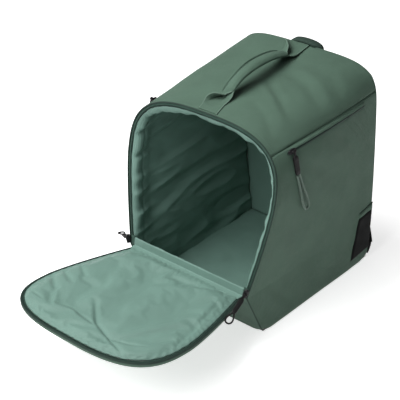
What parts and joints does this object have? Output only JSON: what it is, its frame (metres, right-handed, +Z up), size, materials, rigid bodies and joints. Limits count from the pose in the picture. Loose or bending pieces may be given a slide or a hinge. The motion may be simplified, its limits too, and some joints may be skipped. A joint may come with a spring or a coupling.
{
  "type": "ski boot bag",
  "caption": "Boxy ski boot bag with a wide front flap that hinges open, zipped side pockets, top handle, haul loop and padded shoulder straps.",
  "frame": {"origin": "on the floor, at the middle of the bag's base", "axes": "+X to the bag's right as seen from in front, the flap opens towards -Y, +Z up"},
  "size_m": [0.3627, 0.6363, 0.4103],
  "materials": {
    "shell_fabric": "matt woven polyester, muted green",
    "base_fabric": "matt coated polyester, darker green",
    "dark_webbing": "folded fabric strap, dark green",
    "foam": "open-cell sheet foam",
    "base_board": "stiffener board",
    "lining_fabric": "satin lining, sea green",
    "zip_tape": "zip tape and coil, dark green",
    "piping": "piping, dark green",
    "zip_metal": "black enamelled zinc",
    "moulded_puller": "moulded black plastic",
    "green_cord": "woven cord, green",
    "black_cord": "woven cord, black",
    "patch": "plain black patch",
    "harness_mesh": "padded black mesh",
    "black_webbing": "black webbing",
    "buckle_plastic": "moulded black plastic"
  },
  "bodies": {
    "bag": {"back_foam": "foam", "back_lining": "lining_fabric", "back_pad": "harness_mesh", "back_panel": "shell_fabric", "base_board": "base_board", "base_panel": "base_fabric", "flap_hinge_strip": "zip_tape", "floor_lining": "lining_fabric", "handle_front_tab": "shell_fabric", "handle_grip": "shell_fabric", "handle_rear_tab": "shell_fabric", "haul_loop": "dark_webbing", "left_pocket_welt": "shell_fabric", "left_pocket_zip_tape": "zip_tape", "left_rear_patch": "patch", "left_rear_patch_binding": "shell_fabric", "left_shoulder_strap": "harness_mesh", "left_side_foam": "foam", "left_side_lining": "lining_fabric", "left_side_panel": "shell_fabric", "left_strap_anchor": "black_webbing", "left_strap_buckle": "buckle_plastic", "left_strap_webbing": "black_webbing", "lower_front_foam": "foam", "lower_front_panel": "shell_fabric", "opening_piping": "piping", "opening_zip_tape": "zip_tape", "right_pocket_welt": "shell_fabric", "right_pocket_zip_tape": "zip_tape", "right_rear_patch": "patch", "right_rear_patch_binding": "shell_fabric", "right_shoulder_strap": "harness_mesh", "right_side_foam": "foam", "right_side_lining": "lining_fabric", "right_side_panel": "shell_fabric", "right_strap_anchor": "black_webbing", "right_strap_buckle": "buckle_plastic", "right_strap_webbing": "black_webbing", "top_foam": "foam", "top_lining": "lining_fabric", "top_panel": "shell_fabric"},
    "flap": {"flap_foam": "foam", "flap_lining": "lining_fabric", "flap_outer_panel": "shell_fabric", "flap_piping": "piping", "flap_zip_tape": "zip_tape"},
    "left_main_puller": {"left_main_puller": "moulded_puller", "left_main_pull_cord": "black_cord"},
    "left_main_slider": {"left_main_slider": "zip_metal"},
    "left_pocket_puller": {"left_pocket_puller": "moulded_puller", "left_pocket_pull_cord": "green_cord"},
    "left_pocket_slider": {"left_pocket_slider": "zip_metal"},
    "right_main_puller": {"right_main_puller": "moulded_puller", "right_main_pull_cord": "black_cord"},
    "right_main_slider": {"right_main_slider": "zip_metal"},
    "right_pocket_puller": {"right_pocket_puller": "moulded_puller", "right_pocket_pull_cord": "green_cord"},
    "right_pocket_slider": {"right_pocket_slider": "zip_metal"}
  },
  "joints": [
    {"name": "flap_hinge", "type": "hinge", "parent": "bag", "child": "flap", "pos_m": [0, -0.1833, 0.0886], "axis": [-1, 0, 0], "range_deg": [-20, 98.6]},
    {"name": "right_main_zip", "type": "slide", "parent": "bag", "child": "right_main_slider", "axis": [0.2672, 0.2294, 0.9359], "range_m": [0, 0.075]},
    {"name": "left_main_zip", "type": "slide", "parent": "bag", "child": "left_main_slider", "axis": [-0.2672, 0.2294, 0.9359], "range_m": [0, 0.075]},
    {"name": "right_main_puller_hinge", "type": "hinge", "parent": "right_main_slider", "child": "right_main_puller", "pos_m": [0.13877, -0.1923, 0.1016], "axis": [0.8965, 0.2971, -0.3288], "range_deg": [-90, 5]},
    {"name": "left_main_puller_hinge", "type": "hinge", "parent": "left_main_slider", "child": "left_main_puller", "pos_m": [-0.14116, -0.18482, 0.09908], "axis": [-0.5319, -0.845, 0.0552], "range_deg": [-80, 45]},
    {"name": "right_pocket_zip", "type": "slide", "parent": "bag", "child": "right_pocket_slider", "axis": [0.0184, 0.9993, 0.032], "range_m": [0, 0.18]},
    {"name": "left_pocket_zip", "type": "slide", "parent": "bag", "child": "left_pocket_slider", "axis": [-0.0184, 0.9993, 0.032], "range_m": [0, 0.18]},
    {"name": "right_pocket_puller_hinge", "type": "hinge", "parent": "right_pocket_slider", "child": "right_pocket_puller", "pos_m": [0.15888, -0.08429, 0.33018], "axis": [-0.0184, -0.9993, -0.032], "range_deg": [0, 100]},
    {"name": "left_pocket_puller_hinge", "type": "hinge", "parent": "left_pocket_slider", "child": "left_pocket_puller", "pos_m": [-0.15888, -0.08429, 0.33018], "axis": [-0.0184, 0.9993, 0.032], "range_deg": [0, 100]}
  ]
}
